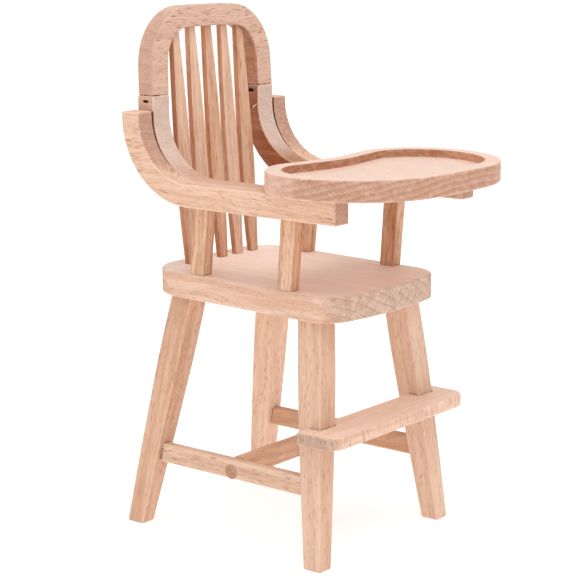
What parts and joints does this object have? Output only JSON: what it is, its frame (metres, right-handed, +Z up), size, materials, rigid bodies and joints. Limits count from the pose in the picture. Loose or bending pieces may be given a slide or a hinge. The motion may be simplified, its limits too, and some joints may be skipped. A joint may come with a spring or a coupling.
{
  "type": "dollhouse high chair",
  "caption": "Small wooden doll high chair: plank seat on splayed legs, spindle back under a rounded bow, bent arms carrying a bean-shaped tray, and a footrest board.",
  "frame": {"origin": "on the floor under the middle of the chair's bounding box", "axes": "+Z up, -Y the way the chair faces (tray and footrest in front), +X towards the sitter's left hand"},
  "size_m": [0.0506, 0.063, 0.0989],
  "materials": {
    "seat_beech": "sanded, unfinished",
    "leg_beech": "sanded, unfinished",
    "side_stretcher_beech": "sanded, unfinished",
    "cross_stretcher_beech": "sanded, unfinished",
    "footrest_beech": "sanded, unfinished",
    "post_beech": "sanded, unfinished",
    "arm_beech": "sanded, unfinished",
    "rail_beech": "sanded, unfinished",
    "brad_steel": "dark, dull",
    "bow_beech": "sanded, unfinished",
    "spindle_beech": "sanded, unfinished",
    "tray_beech": "sanded, unfinished"
  },
  "bodies": {
    "root": {"seat": "seat_beech", "leg_front_right": "leg_beech", "leg_front_left": "leg_beech", "leg_rear_right": "leg_beech", "leg_rear_left": "leg_beech", "side_stretcher_right": "side_stretcher_beech", "side_stretcher_left": "side_stretcher_beech", "cross_stretcher": "cross_stretcher_beech", "footrest": "footrest_beech", "arm_post_front_right": "post_beech", "arm_post_front_left": "post_beech", "arm_post_rear_right": "post_beech", "arm_post_rear_left": "post_beech", "arm_right": "arm_beech", "arm_left": "arm_beech", "back_rail_right": "rail_beech", "back_rail_left": "rail_beech", "brad_right": "brad_steel", "brad_left": "brad_steel", "back_bow": "bow_beech", "spindle_1": "spindle_beech", "spindle_2": "spindle_beech", "spindle_3": "spindle_beech", "spindle_4": "spindle_beech", "spindle_5": "spindle_beech", "tray": "tray_beech"}
  },
  "joints": []
}
